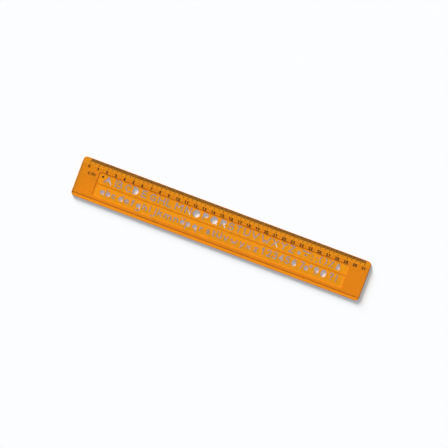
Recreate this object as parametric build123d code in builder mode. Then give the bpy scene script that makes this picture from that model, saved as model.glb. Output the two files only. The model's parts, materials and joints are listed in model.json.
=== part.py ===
from build123d import *
import math
import os

# A lettering stencil: one moulded see-through plate with letter openings, a sloped scale
# edge on one long side and a low ruling edge on the other, and the marks printed on it.
# Lengths are in millimetres. X runs along the scale, Y across the plate towards the scale
# edge, and Z up. The origin is under the middle of the plate, on the face that lies on paper.

# Plate
plate_length = 325
plate_width = 44
plate_thickness = 2.2
corner_radius = 4
rim_round = 0.5
cut_overrun = 1

# Scale edge: the upper face slopes down to a thin edge that lies close to the paper
scale_edge_thickness = 0.9
scale_slope_width = 6.8

# Ruling edge: a low shelf below a short riser
shelf_width = 3.5
shelf_thickness = 1.6
shelf_riser_width = 0.5

# Letter panel: a sunk field between two full-height ends, split by a rib
panel_left_margin = 21.2
panel_right_margin = 21.7
panel_scale_margin = 10.6
panel_ruling_margin = 7
panel_thickness = 1.6
panel_corner_radius = 1.6
panel_wall_draft = 40
rib_width = 0.9
rib_height = 0.3
rib_to_scale_edge = 22.6

# Letter openings: the pen runs in slots of one width, all with round ends
slot_width = 1.15
dot_diameter = 1.5
capital_height = 8
capital_top_to_scale_edge = 12.5
figure_height = 8
figure_top_to_scale_edge = 24.8
small_height = 5
small_base_to_scale_edge = 32.8

# Printed scale, in centimetres from the zero line
scale_start = 8.36
number_pitch = 10
last_number = 31
ticks_per_number = 10
tick_width = 0.42
long_tick_width = 0.3
tick_start = 0.1
tick_length = 3.3
half_tick_length = 5.6
number_tick_length = 6.4
number_height = 3.2
number_width = 2
number_gap = 0.5
number_stroke = 0.66
number_middle_to_scale_edge = 8.9

# Other printed marks
ink_thickness = 0.08
unit_height = 3
unit_c_width = 2.8
unit_m_width = 4.6
unit_gap = 1
unit_stroke = 0.65
unit_left_margin = 9.4
unit_base_to_scale_edge = 17.4
pen_dot_diameter = 2.2
pen_dot_left_margin = 26
pen_dot_to_scale_edge = 14.6

# Letter shapes. A stroke is a dot (one place), a straight run (two places) or an arc
# through three places. Places are shares of the letter's width and height, measured
# between slot middles, from the foot of its left side.
capital_stroke_shares = {
    "A": [[(0, 0), (0.5, 1)], [(0.5, 1), (1, 0)], [(0.19, 0.36), (0.81, 0.36)]],
    "B": [
        [(0, 0), (0, 1)],
        [(0.32, 1), (0.66, 1)],
        [(0.66, 1), (0.92, 0.77), (0.66, 0.54)],
        [(0.46, 0.54), (0.7, 0.54)],
        [(0.7, 0.54), (1, 0.27), (0.7, 0)],
        [(0.7, 0), (0.32, 0)],
    ],
    "C": [[(0.93, 0.87), (0, 0.5), (0.93, 0.13)]],
    "D": [[(0, 0), (0, 1)], [(0, 1), (0.42, 1)], [(0.42, 1), (1, 0.5), (0.42, 0)], [(0.42, 0), (0, 0)]],
    "E": [[(0, 0), (0, 1)], [(0, 1), (1, 1)], [(0, 0.52), (0.85, 0.52)], [(0, 0), (1, 0)]],
    "G": [[(0.92, 0.87), (0, 0.5), (0.94, 0.15)], [(0.94, 0.15), (0.98, 0.44)], [(0.98, 0.44), (0.55, 0.44)]],
    "H": [[(0, 0), (0, 1)], [(1, 0), (1, 1)], [(0, 0.52), (1, 0.52)]],
    "L": [[(0, 1), (0, 0)], [(0, 0), (1, 0)]],
    "M": [[(0, 0), (0, 1)], [(0, 1), (0.5, 0.47)], [(0.5, 0.47), (1, 1)], [(1, 1), (1, 0)]],
    "N": [[(0, 0), (0, 1)], [(0, 1), (1, 0)], [(1, 0), (1, 1)]],
    "O": [[(0, 0.5), (0.5, 1), (1, 0.5)], [(1, 0.5), (0.5, 0), (0, 0.5)]],
    "P": [[(0, 0), (0, 1)], [(0, 1), (0.6, 1)], [(0.6, 1), (1, 0.74), (0.6, 0.48)], [(0.6, 0.48), (0, 0.48)]],
    "Q": [[(0, 0.5), (0.5, 1), (1, 0.5)], [(1, 0.5), (0.5, 0), (0, 0.5)], [(0.62, 0.32), (1, 0)]],
    "R": [
        [(0, 0), (0, 1)],
        [(0, 1), (0.6, 1)],
        [(0.6, 1), (1, 0.74), (0.6, 0.48)],
        [(0.6, 0.48), (0, 0.48)],
        [(0.48, 0.48), (1, 0)],
    ],
    "S": [
        [(0.95, 0.83), (0.5, 1), (0.06, 0.8)],
        [(0.06, 0.8), (0.13, 0.61), (0.5, 0.51)],
        [(0.5, 0.51), (0.9, 0.4), (0.95, 0.2)],
        [(0.95, 0.2), (0.5, 0), (0.03, 0.17)],
    ],
    "T": [[(0, 1), (1, 1)], [(0.5, 1), (0.5, 0)]],
    "U": [[(0, 1), (0, 0.42)], [(0, 0.42), (0.5, 0), (1, 0.42)], [(1, 0.42), (1, 1)]],
    "V": [[(0, 1), (0.5, 0)], [(0.5, 0), (1, 1)]],
    "W": [[(0, 1), (0.31, 0)], [(0.31, 0), (0.51, 0.4)], [(0.51, 0.4), (0.7, 0)], [(0.7, 0), (1, 1)]],
    "X": [[(0, 0), (1, 1)], [(0, 1), (1, 0)]],
    "Y": [[(0, 1), (0.5, 0.47)], [(1, 1), (0.5, 0.47)], [(0.5, 0.47), (0.5, 0)]],
    "Z": [[(0, 1), (1, 1)], [(1, 1), (0, 0)], [(0, 0), (1, 0)]],
    "ring": [[(0, 0.38), (0.5, 0.59), (1, 0.38)], [(1, 0.38), (0.5, 0.17), (0, 0.38)]],
    "dashes": [[(0, 0.9), (1, 0.9)], [(0.34, 0.38), (0.68, 0.38)]],
    "colon": [[(0.5, 0.62)], [(0.5, 0.04)]],
    "semicolon": [[(0.6, 0.62)], [(0.68, 0.08), (0.35, -0.1)]],
    "left_bracket": [[(1, 1), (0, 0.52), (1, 0.04)]],
    "right_bracket": [[(0, 1), (1, 0.52), (0, 0.04)]],
    "percent": [[(1, 1), (0, 0)], [(0, 0.92)], [(1, 0.08)]],
    "ampersand": [
        [(0, 0.24), (0.5, 0), (1, 0.3)],
        [(1, 0.3), (0.8, 0.52), (0.68, 0.66)],
        [(0.68, 0.66), (0.46, 0.84), (0.22, 0.64)],
        [(0.22, 0.64), (0.08, 0.46), (0, 0.24)],
    ],
}
figure_stroke_shares = {
    "0": [
        [(0, 0.65), (0.5, 1), (1, 0.65)],
        [(1, 0.65), (1, 0.35)],
        [(1, 0.35), (0.5, 0), (0, 0.35)],
        [(0, 0.35), (0, 0.65)],
    ],
    "1": [[(0.1, 0.72), (0.62, 1)], [(0.62, 1), (0.62, 0)]],
    "2": [[(0, 0.73), (0.5, 1), (0.97, 0.7)], [(0.97, 0.7), (0.78, 0.42), (0, 0)], [(0, 0), (1, 0)]],
    "3": [
        [(0.04, 0.88), (0.45, 1), (0.92, 0.77)],
        [(0.92, 0.77), (0.8, 0.58), (0.42, 0.53)],
        [(0.42, 0.53), (1, 0.3), (0.5, 0)],
        [(0.5, 0), (0.2, 0.04), (0, 0.16)],
    ],
    "4": [[(0.74, 0), (0.74, 1)], [(0.74, 1), (0, 0.28)], [(0, 0.28), (1, 0.28)]],
    "5": [
        [(0.92, 1), (0.15, 1)],
        [(0.15, 1), (0.07, 0.55)],
        [(0.07, 0.55), (1, 0.34), (0.5, 0)],
        [(0.5, 0), (0.2, 0.04), (0, 0.16)],
    ],
    "6": [
        [(0, 0.34), (0.5, 0.66), (1, 0.34)],
        [(1, 0.34), (0.5, 0), (0, 0.34)],
        [(0, 0.34), (0.2, 0.8), (0.8, 1)],
    ],
    "7": [[(0, 1), (1, 1)], [(1, 1), (0.35, 0)]],
    "8": [
        [(0.1, 0.76), (0.5, 1), (0.9, 0.76)],
        [(0.9, 0.76), (0.5, 0.54), (0.1, 0.76)],
        [(0, 0.28), (0.5, 0.54), (1, 0.28)],
        [(1, 0.28), (0.5, 0), (0, 0.28)],
    ],
    "9": [
        [(0, 0.66), (0.5, 1), (1, 0.66)],
        [(1, 0.66), (0.5, 0.34), (0, 0.66)],
        [(1, 0.66), (0.8, 0.2), (0.2, 0)],
    ],
    "lower_ring": [[(0, 0.31), (0.5, 0.59), (1, 0.31)], [(1, 0.31), (0.5, 0.03), (0, 0.31)]],
    "upper_ring": [[(0, 0.84), (0.5, 1), (1, 0.84)], [(1, 0.84), (0.5, 0.68), (0, 0.84)]],
    "query": [[(0, 0.76), (0.5, 1), (1, 0.73)], [(1, 0.73), (0.6, 0.5), (0.5, 0.3)], [(0.5, 0.02)]],
    "exclamation": [[(0.5, 1), (0.5, 0.32)], [(0.5, 0.02)]],
}
small_stroke_shares = {
    "a": [[(0, 0.5), (0.5, 1), (1, 0.5)], [(1, 0.5), (0.5, 0), (0, 0.5)], [(1, 1), (1, 0)]],
    "b": [[(0, 0.5), (0.5, 1), (1, 0.5)], [(1, 0.5), (0.5, 0), (0, 0.5)], [(0, 1.52), (0, 0)]],
    "c": [[(0.9, 0.87), (0, 0.5), (0.9, 0.13)]],
    "d": [[(0, 0.5), (0.5, 1), (1, 0.5)], [(1, 0.5), (0.5, 0), (0, 0.5)], [(1, 1.52), (1, 0)]],
    "e": [[(0, 0.5), (1, 0.5)], [(1, 0.5), (0.5, 1), (0, 0.5)], [(0, 0.5), (0.4, 0.02), (0.95, 0.17)]],
    "f": [[(0.4, 0), (0.4, 1.2)], [(0.4, 1.2), (0.6, 1.48), (1, 1.5)], [(0, 0.9), (0.95, 0.9)]],
    "g": [
        [(0, 0.5), (0.5, 1), (1, 0.5)],
        [(1, 0.5), (0.5, 0), (0, 0.5)],
        [(1, 1), (1, -0.45)],
        [(1, -0.45), (0.6, -0.82), (0.05, -0.7)],
    ],
    "h": [[(0, 0), (0, 1.52)], [(0, 0.55), (0.5, 1), (1, 0.55)], [(1, 0.55), (1, 0)]],
    "i": [[(0.5, 0), (0.5, 1)], [(0.5, 1.5)]],
    "j": [[(1, 1), (1, -0.4)], [(1, -0.4), (0.7, -0.76), (0, -0.78)], [(1, 1.5)]],
    "k": [[(0, 0), (0, 1.52)], [(0.08, 0.4), (0.92, 1)], [(0.38, 0.6), (1, 0)]],
    "m": [
        [(0, 0), (0, 1)],
        [(0, 0.62), (0.25, 1), (0.5, 0.62)],
        [(0.5, 0.62), (0.5, 0)],
        [(0.5, 0.62), (0.75, 1), (1, 0.62)],
        [(1, 0.62), (1, 0)],
    ],
    "n": [[(0, 0), (0, 1)], [(0, 0.55), (0.5, 1), (1, 0.55)], [(1, 0.55), (1, 0)]],
    "o_dots": [[(0, 0.5), (0.5, 1), (1, 0.5)], [(1, 0.5), (0.5, 0), (0, 0.5)], [(0.1, 1.56)], [(0.9, 1.56)]],
    "p": [[(0, 0.5), (0.5, 1), (1, 0.5)], [(1, 0.5), (0.5, 0), (0, 0.5)], [(0, 1), (0, -0.82)]],
    "q": [[(0, 0.5), (0.5, 1), (1, 0.5)], [(1, 0.5), (0.5, 0), (0, 0.5)], [(1, 1), (1, -0.82)]],
    "r": [[(0, 0), (0, 1)], [(0, 0.55), (0.4, 0.95), (0.95, 0.97)]],
    "s": capital_stroke_shares["S"],
    "t": [[(0.42, 1.45), (0.42, 0.3)], [(0.42, 0.3), (0.58, 0.03), (0.95, 0)], [(0, 1), (0.9, 1)]],
    "u_dots": [
        [(0, 1), (0, 0.42)],
        [(0, 0.42), (0.5, 0), (1, 0.42)],
        [(1, 1), (1, 0)],
        [(0.1, 1.56)],
        [(0.9, 1.56)],
    ],
    "v": capital_stroke_shares["V"],
    "w": capital_stroke_shares["W"],
    "x": capital_stroke_shares["X"],
    "y": [[(0, 1), (0.52, 0.02)], [(1, 1), (0.28, -0.5)]],
    "z": capital_stroke_shares["Z"],
}

# These have no loose middle: the plastic inside a closed line is cut away with it.
open_middle_letters = "A D O P Q R ring ampersand a b d e g o_dots p q 4 6 9 0 lower_ring upper_ring"

# Where each letter sits: the share of the panel's length from its left end to the
# letter's middle, and the letter's width as a share of its height.
capital_row_shares = [
    ("A", 0.040, 1.12),
    ("B", 0.083, 1.00),
    ("C", 0.122, 0.88),
    ("D", 0.151, 0.80),
    ("E", 0.186, 0.75),
    ("G", 0.221, 0.85),
    ("H", 0.255, 0.93),
    ("L", 0.286, 0.79),
    ("M", 0.324, 1.05),
    ("N", 0.361, 0.84),
    ("O", 0.394, 1.03),
    ("P", 0.430, 0.78),
    ("Q", 0.465, 1.00),
    ("R", 0.502, 0.79),
    ("S", 0.533, 0.83),
    ("T", 0.563, 0.78),
    ("U", 0.596, 0.88),
    ("V", 0.630, 0.95),
    ("W", 0.672, 1.28),
    ("X", 0.710, 0.88),
    ("Y", 0.744, 0.88),
    ("Z", 0.776, 0.76),
    ("ring", 0.806, 0.50),
    ("dashes", 0.833, 1.24),
    ("colon", 0.859, 0.20),
    ("semicolon", 0.877, 0.30),
    ("left_bracket", 0.892, 0.31),
    ("right_bracket", 0.913, 0.31),
    ("percent", 0.935, 0.60),
    ("ampersand", 0.963, 0.60),
]
small_row_shares = [
    ("a", 0.034, 1.00),
    ("b", 0.058, 1.00),
    ("c", 0.080, 0.90),
    ("d", 0.108, 1.00),
    ("e", 0.132, 1.00),
    ("f", 0.155, 0.70),
    ("g", 0.179, 1.00),
    ("h", 0.204, 0.98),
    ("i", 0.225, 0.30),
    ("j", 0.240, 0.96),
    ("k", 0.265, 0.95),
    ("m", 0.297, 1.72),
    ("n", 0.330, 1.10),
    ("o_dots", 0.355, 1.00),
    ("p", 0.378, 1.00),
    ("q", 0.405, 1.00),
    ("r", 0.431, 0.72),
    ("s", 0.458, 0.84),
    ("t", 0.480, 0.72),
    ("u_dots", 0.502, 1.20),
    ("v", 0.529, 1.05),
    ("w", 0.562, 1.55),
    ("y", 0.594, 1.05),
    ("x", 0.621, 1.00),
    ("z", 0.649, 0.80),
]
figure_row_shares = [
    ("1", 0.677, 0.45),
    ("2", 0.701, 0.64),
    ("3", 0.725, 0.64),
    ("4", 0.750, 0.70),
    ("5", 0.775, 0.64),
    ("6", 0.802, 0.66),
    ("7", 0.832, 0.64),
    ("lower_ring", 0.851, 0.60),
    ("upper_ring", 0.866, 0.42),
    ("9", 0.890, 0.66),
    ("0", 0.919, 0.74),
    ("query", 0.950, 0.60),
    ("exclamation", 0.971, 0.20),
]

# Places worked out from the sizes above
left_end = -plate_length / 2
scale_edge = plate_width / 2
ruling_edge = -plate_width / 2
panel_length = plate_length - panel_left_margin - panel_right_margin
panel_width = plate_width - panel_scale_margin - panel_ruling_margin
panel_depth = plate_thickness - panel_thickness
panel_left = left_end + panel_left_margin
panel_middle = (panel_left + panel_length / 2, scale_edge - panel_scale_margin - panel_width / 2)
slope_drop = plate_thickness - scale_edge_thickness
slope_length = math.hypot(scale_slope_width, slope_drop)
slope_share = slope_length / scale_slope_width
zero_line = left_end + scale_start
flat_normal_share = 0.01


def stroke_shape(places, width, dot):
    """Return one stroke: a dot, or a straight or curved slot with round ends."""
    if len(places) == 1:
        return Circle(dot / 2).moved(Location(places[0]))
    middle_line = Line(*places) if len(places) == 2 else ThreePointArc(*places)
    return SlotArc(middle_line, width)


def letter_shape(strokes, width, height, stroke_width, dot, foot=(0, 0)):
    """Return one letter, standing on the place given as its foot."""
    run = width - stroke_width
    rise = height - stroke_width
    shapes = []
    for stroke in strokes:
        places = [
            (foot[0] + (share_x - 0.5) * run, foot[1] + stroke_width / 2 + share_y * rise)
            for share_x, share_y in stroke
        ]
        shapes.append(stroke_shape(places, stroke_width, dot))
    with BuildSketch() as letter:
        add(shapes)
    return letter.sketch


def opened_faces(shape):
    """Return the shape's faces with the plastic inside their closed lines cut away too."""
    return [Face(face.outer_wire()) for face in shape.faces()]


def row_openings(row_shares, stroke_shares, height, foot_line):
    """Return the faces of all letter openings in one row."""
    faces = []
    for name, along_share, width_share in row_shares:
        foot = (panel_left + along_share * panel_length, foot_line)
        letter = letter_shape(
            stroke_shares[name], width_share * height, height, slot_width, dot_diameter, foot
        )
        faces += opened_faces(letter) if name in open_middle_letters.split() else letter.faces()
    return faces


capital_foot = scale_edge - capital_top_to_scale_edge - capital_height
small_foot = scale_edge - small_base_to_scale_edge
figure_foot = scale_edge - figure_top_to_scale_edge - figure_height
openings = [
    *row_openings(capital_row_shares, capital_stroke_shares, capital_height, capital_foot),
    *row_openings(small_row_shares, small_stroke_shares, small_height, small_foot),
    *row_openings(figure_row_shares, figure_stroke_shares, figure_height, figure_foot),
]

# Stencil plate
with BuildPart() as stencil_plate:
    with BuildSketch(Plane.YZ) as cross_section:
        with BuildLine():
            Polyline(
                (ruling_edge, 0),
                (scale_edge, 0),
                (scale_edge, scale_edge_thickness),
                (scale_edge - scale_slope_width, plate_thickness),
                (ruling_edge + shelf_width + shelf_riser_width, plate_thickness),
                (ruling_edge + shelf_width, shelf_thickness),
                (ruling_edge, shelf_thickness),
                close=True,
            )
        make_face()
    extrude(amount=plate_length / 2, both=True)
    with BuildSketch() as outline:
        RectangleRounded(plate_length, plate_width, corner_radius)
    extrude(amount=plate_thickness, mode=Mode.INTERSECT)
    walls = stencil_plate.faces().filter_by(lambda face: abs(face.normal_at().Z) < flat_normal_share)
    rim = walls.edges().filter_by(Axis.Z, reverse=True).filter_by(lambda edge: edge.center().Z > 0)
    fillet(rim, rim_round)

    with BuildSketch(Plane.XY.offset(plate_thickness)) as panel_mouth:
        with Locations(panel_middle):
            RectangleRounded(panel_length, panel_width, panel_corner_radius)
    extrude(amount=-panel_depth, taper=panel_wall_draft, mode=Mode.SUBTRACT)

    with BuildSketch(Plane.XY.offset(panel_thickness)) as rib_foot:
        with Locations((panel_middle[0], scale_edge - rib_to_scale_edge)):
            Rectangle(panel_length, rib_width)
    extrude(amount=rib_height)

    extrude(openings, amount=plate_thickness + cut_overrun, mode=Mode.SUBTRACT)
stencil_plate.part.label = "stencil_plate"

# Scale ticks, printed on the slope. Ticks stand on the slope's own plane, whose y axis
# runs up the slope from the scale edge.
slope_plane = Plane(
    origin=(zero_line, scale_edge, scale_edge_thickness),
    x_dir=(1, 0, 0),
    z_dir=(0, slope_drop, scale_slope_width),
)


def tick_middles(numbers, length):
    """Return where ticks sit on the slope, for their places along the scale in tick steps."""
    tick_pitch = number_pitch / ticks_per_number
    return [(number * tick_pitch, -(tick_start + length / 2) * slope_share) for number in numbers]


tick_numbers = range(last_number * ticks_per_number + 1)
ticks_per_half = ticks_per_number // 2
fine_numbers = [number for number in tick_numbers if number % ticks_per_half]
half_numbers = [number for number in tick_numbers if number % ticks_per_number == ticks_per_half]
whole_numbers = [number for number in tick_numbers if number % ticks_per_number == 0]

with BuildPart() as millimetre_ticks:
    with BuildSketch(slope_plane) as fine_ticks:
        with Locations(tick_middles(fine_numbers, tick_length)):
            Rectangle(tick_width, tick_length * slope_share)
    extrude(amount=ink_thickness)
millimetre_ticks.part.label = "millimetre_ticks"

with BuildPart() as half_centimetre_ticks:
    with BuildSketch(slope_plane) as half_ticks:
        with Locations(tick_middles(half_numbers, half_tick_length)):
            Rectangle(long_tick_width, half_tick_length * slope_share)
    extrude(amount=ink_thickness)
half_centimetre_ticks.part.label = "half_centimetre_ticks"

with BuildPart() as centimetre_ticks:
    with BuildSketch(slope_plane) as whole_ticks:
        with Locations(tick_middles(whole_numbers, number_tick_length)):
            Rectangle(long_tick_width, number_tick_length * slope_share)
    extrude(amount=ink_thickness)
centimetre_ticks.part.label = "centimetre_ticks"

# Numbers under the scale, printed on the flat rim
number_foot = scale_edge - number_middle_to_scale_edge - number_height / 2
figure_step = number_width + number_gap
figure_shapes = {
    figure: letter_shape(figure_stroke_shares[figure], number_width, number_height, number_stroke, number_stroke)
    for figure in "0123456789"
}
printed_figures = []
for number in range(last_number + 1):
    figures = str(number)
    first = zero_line + number * number_pitch - (len(figures) - 1) * figure_step / 2
    for place, figure in enumerate(figures):
        printed_figures.append(figure_shapes[figure].moved(Location((first + place * figure_step, number_foot))))

with BuildPart() as scale_numerals:
    with BuildSketch(Plane.XY.offset(plate_thickness)) as numbers:
        add(printed_figures)
    extrude(amount=ink_thickness)
scale_numerals.part.label = "scale_numerals"

# Unit mark for the scale, on the left end
unit_foot = scale_edge - unit_base_to_scale_edge
unit_c = letter_shape(
    small_stroke_shares["c"],
    unit_c_width,
    unit_height,
    unit_stroke,
    unit_stroke,
    (left_end + unit_left_margin + unit_c_width / 2, unit_foot),
)
unit_m = letter_shape(
    small_stroke_shares["m"],
    unit_m_width,
    unit_height,
    unit_stroke,
    unit_stroke,
    (left_end + unit_left_margin + unit_c_width + unit_gap + unit_m_width / 2, unit_foot),
)
with BuildPart() as unit_mark:
    with BuildSketch(Plane.XY.offset(plate_thickness)) as unit_letters:
        add([unit_c, unit_m])
    extrude(amount=ink_thickness)
unit_mark.part.label = "unit_mark"

# Round printed dot on the panel, beside the first letter
with BuildPart() as pen_dot:
    with BuildSketch(Plane.XY.offset(panel_thickness)) as dot_outline:
        with Locations((left_end + pen_dot_left_margin, scale_edge - pen_dot_to_scale_edge)):
            Circle(pen_dot_diameter / 2)
    extrude(amount=ink_thickness)
pen_dot.part.label = "pen_dot"

# Files
os.makedirs("parts", exist_ok=True)
export_step(stencil_plate.part, "parts/stencil_plate.step")
export_step(millimetre_ticks.part, "parts/millimetre_ticks.step")
export_step(half_centimetre_ticks.part, "parts/half_centimetre_ticks.step")
export_step(centimetre_ticks.part, "parts/centimetre_ticks.step")
export_step(scale_numerals.part, "parts/scale_numerals.step")
export_step(unit_mark.part, "parts/unit_mark.step")
export_step(pen_dot.part, "parts/pen_dot.step")
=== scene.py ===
# %% [markdown]
# This lesson dresses a lettering stencil: a flat plate of clear amber plastic, as long as a
# 30 cm ruler, with letters cut through it and a centimetre scale printed on one sloped edge.
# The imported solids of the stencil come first. They are the fixed frame of the lesson, so every
# piece added later already has its right place and size in metres.

# %% Load the solids of the stencil
import json
import math

import bmesh
import bpy
from mathutils import Matrix, Vector

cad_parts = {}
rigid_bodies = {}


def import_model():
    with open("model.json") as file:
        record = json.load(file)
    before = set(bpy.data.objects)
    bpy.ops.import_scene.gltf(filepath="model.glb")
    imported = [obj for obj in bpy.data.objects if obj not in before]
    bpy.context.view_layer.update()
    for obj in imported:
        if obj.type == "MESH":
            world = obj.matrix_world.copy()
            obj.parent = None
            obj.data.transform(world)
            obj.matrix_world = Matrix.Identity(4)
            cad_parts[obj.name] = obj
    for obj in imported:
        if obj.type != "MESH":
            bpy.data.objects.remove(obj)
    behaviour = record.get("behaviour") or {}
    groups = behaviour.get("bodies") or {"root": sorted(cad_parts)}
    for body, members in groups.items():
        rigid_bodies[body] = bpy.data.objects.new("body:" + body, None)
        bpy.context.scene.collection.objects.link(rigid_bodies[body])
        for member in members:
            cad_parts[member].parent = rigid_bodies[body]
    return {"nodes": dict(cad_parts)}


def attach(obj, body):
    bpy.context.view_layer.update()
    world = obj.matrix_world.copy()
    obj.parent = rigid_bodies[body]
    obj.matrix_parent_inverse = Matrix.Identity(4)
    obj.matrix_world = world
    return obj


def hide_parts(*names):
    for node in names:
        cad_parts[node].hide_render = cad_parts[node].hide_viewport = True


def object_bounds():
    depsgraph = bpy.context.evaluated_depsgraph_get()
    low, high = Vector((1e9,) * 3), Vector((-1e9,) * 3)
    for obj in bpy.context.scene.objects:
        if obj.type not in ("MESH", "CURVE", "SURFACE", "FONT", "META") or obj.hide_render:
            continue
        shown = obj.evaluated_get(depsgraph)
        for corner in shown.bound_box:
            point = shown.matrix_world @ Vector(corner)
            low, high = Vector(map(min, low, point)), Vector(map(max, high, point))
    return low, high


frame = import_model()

MM = 0.001
solids = frame["nodes"]
solid_low, solid_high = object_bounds()
print("solids:", ", ".join(sorted(solids)))
print("size in mm:", [round(side / MM, 2) for side in solid_high - solid_low])


# %% [markdown]
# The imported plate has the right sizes, but its letters have sharp lips and coarse curves. The
# real plate comes out of a mould, with soft lips and smooth round slots, so the lesson models the
# plate again. These helpers do the handwork. Edges and faces are picked by a test of where they
# lie, because nothing is clicked here, and a piece that cuts another one is used up by the cut.
# The plane cut needs a very small limit, or it would treat points of this small piece as one.

# %% Helpers for shaping a piece
HAIR = 0.01 * MM
SAME_PLACE = HAIR / 100
TRIM = 1 * MM


def start_piece(name):
    """Name the new primitive, put its place into its mesh and open it for editing."""
    piece = bpy.context.object
    piece.name = name
    bpy.ops.object.transform_apply(location=True, rotation=True, scale=True)
    bpy.ops.object.mode_set(mode="EDIT")
    return piece


def pick(piece, kind, test):
    """Select only the verts, edges or faces of the edited piece that pass a test."""
    modes = {"verts": "VERT", "edges": "EDGE", "faces": "FACE"}
    bpy.ops.mesh.select_mode(type=modes[kind])
    bpy.ops.mesh.select_all(action="DESELECT")
    shape = bmesh.from_edit_mesh(piece.data)
    shape.normal_update()
    count = 0
    for part in getattr(shape, kind):
        if test(part):
            part.select_set(True)
            count += 1
    bmesh.update_edit_mesh(piece.data)
    return count


def stands_upright(edge):
    """Say whether an edge of a block is one of its upright corners."""
    return abs(edge.verts[0].co.z - edge.verts[1].co.z) > HAIR


def add_block(name, length, width, low, high):
    """Add a plain block over the middle of the plate and open it for editing."""
    bpy.ops.object.select_all(action="DESELECT")
    bpy.ops.mesh.primitive_cube_add(size=1, location=(0, 0, (low + high) / 2))
    bpy.context.object.scale = (length, width, high - low)
    return start_piece(name)


def slice_at(place, direction, **options):
    """Cut all faces of the edited piece by a plane."""
    bpy.ops.mesh.select_all(action="SELECT")
    bpy.ops.mesh.bisect(plane_co=place, plane_no=direction, threshold=SAME_PLACE, **options)


def combine(piece, tool, operation, **options):
    """Cut or trim a piece by another one, which is used up."""
    bpy.ops.object.select_all(action="DESELECT")
    bpy.context.view_layer.objects.active = piece
    bpy.ops.object.modifier_add(type="BOOLEAN")
    cut = piece.modifiers[-1]
    cut.operation = operation
    cut.solver = "EXACT"
    cut.object = tool
    for name, value in options.items():
        setattr(cut, name, value)
    bpy.ops.object.modifier_apply(modifier=cut.name)
    bpy.data.objects.remove(tool)


print("a hair in mm:", HAIR / MM)


# %% [markdown]
# The body of the plate is a bar, a little too long and too wide. It is sliced along the slope of
# the scale edge, and its other long side, the ruling edge, is pressed down behind two cuts. A
# block with rounded corners then trims the bar to its outline. Cutting the outline last keeps
# the corners clean, because the press can't drag them along.

# %% Shape the plate body
PLATE_LENGTH = 325 * MM
PLATE_WIDTH = 44 * MM
PLATE_THICKNESS = 2.2 * MM
CORNER_RADIUS = 4 * MM
CORNER_STEPS = 14
SCALE_EDGE_THICKNESS = 0.9 * MM
SLOPE_WIDTH = 6.8 * MM
SHELF_WIDTH = 3.5 * MM
SHELF_THICKNESS = 1.6 * MM
RISER_WIDTH = 0.5 * MM
LEVEL_FACES = math.radians(1)
scale_edge = PLATE_WIDTH / 2
ruling_edge = -PLATE_WIDTH / 2

plate = add_block("moulded_plate", PLATE_LENGTH + 2 * TRIM, PLATE_WIDTH + 2 * TRIM, 0, PLATE_THICKNESS)
slope_normal = (0, PLATE_THICKNESS - SCALE_EDGE_THICKNESS, SLOPE_WIDTH)
slice_at((0, scale_edge, SCALE_EDGE_THICKNESS), slope_normal, use_fill=True, clear_outer=True)
for cut_place in (SHELF_WIDTH, SHELF_WIDTH + RISER_WIDTH):
    slice_at((0, ruling_edge + cut_place, 0), (0, 1, 0))
shelf_line = ruling_edge + SHELF_WIDTH + HAIR
pick(plate, "verts", lambda vert: vert.co.z > HAIR and vert.co.y < shelf_line)
bpy.ops.transform.translate(value=(0, 0, SHELF_THICKNESS - PLATE_THICKNESS))
bpy.ops.object.mode_set(mode="OBJECT")

outline = add_block("outline", PLATE_LENGTH, PLATE_WIDTH, -TRIM, PLATE_THICKNESS + TRIM)
pick(outline, "edges", stands_upright)
bpy.ops.mesh.bevel(offset=CORNER_RADIUS, segments=CORNER_STEPS, affect="EDGES", clamp_overlap=False)
bpy.ops.object.mode_set(mode="OBJECT")
combine(plate, outline, "INTERSECT")
bpy.ops.object.mode_set(mode="EDIT")
bpy.ops.mesh.select_all(action="SELECT")
bpy.ops.mesh.remove_doubles(threshold=HAIR)
bpy.ops.mesh.dissolve_limited(angle_limit=LEVEL_FACES)
bpy.ops.object.mode_set(mode="OBJECT")
print("plate body faces:", len(plate.data.polygons))


# %% [markdown]
# Moulded edges are never sharp. The rim round the plate's top is rounded by half a millimetre,
# its foot hardly at all, and the crest of the slope and the two lines of the riser get a small
# round too. Each set of edges is picked by its place or by the two faces that meet there. The
# long lines come last, because their rounds run out cleanly only into a finished rim.

# %% Round the edges of the body
RIM_ROUND = 0.5 * MM
RIM_STEPS = 5
FOOT_ROUND = 0.12 * MM
FOOT_STEPS = 2
CREST_ROUND = 0.3 * MM
CREST_STEPS = 3
UPRIGHT_LIMIT = 0.01
FACES_UP = 0.5
CREST_ANGLE = 0.1


def upright(face):
    """Say whether a face stands upright."""
    return abs(face.normal.z) < UPRIGHT_LIMIT


def on_rim(edge, side):
    """Say whether an edge joins the plate's upright outer wall to its top (1) or bottom (-1)."""
    one, other = edge.link_faces
    level = other if upright(one) else one
    return upright(one) != upright(other) and level.normal.z * side > FACES_UP


def on_crest(edge):
    """Say whether an edge is the crest of the slope or a line of the riser."""
    one, other = edge.link_faces
    inside = abs(edge.verts[0].co.y) < scale_edge - TRIM and edge.verts[0].co.z > HAIR
    bent = one.normal.angle(other.normal) > CREST_ANGLE
    return inside and bent and edge.calc_length() > PLATE_LENGTH / 2


bpy.context.view_layer.objects.active = plate
bpy.ops.object.mode_set(mode="EDIT")
rim_edges = pick(plate, "edges", lambda edge: on_rim(edge, 1))
bpy.ops.mesh.bevel(offset=RIM_ROUND, segments=RIM_STEPS, affect="EDGES", clamp_overlap=False)
foot_edges = pick(plate, "edges", lambda edge: on_rim(edge, -1))
bpy.ops.mesh.bevel(offset=FOOT_ROUND, segments=FOOT_STEPS, affect="EDGES", clamp_overlap=False)
crest_edges = pick(plate, "edges", on_crest)
bpy.ops.mesh.bevel(offset=CREST_ROUND, segments=CREST_STEPS, affect="EDGES")
bpy.ops.object.mode_set(mode="OBJECT")
print("rounded edges:", rim_edges, "on the rim,", foot_edges, "at the foot,", crest_edges, "long lines")


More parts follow.
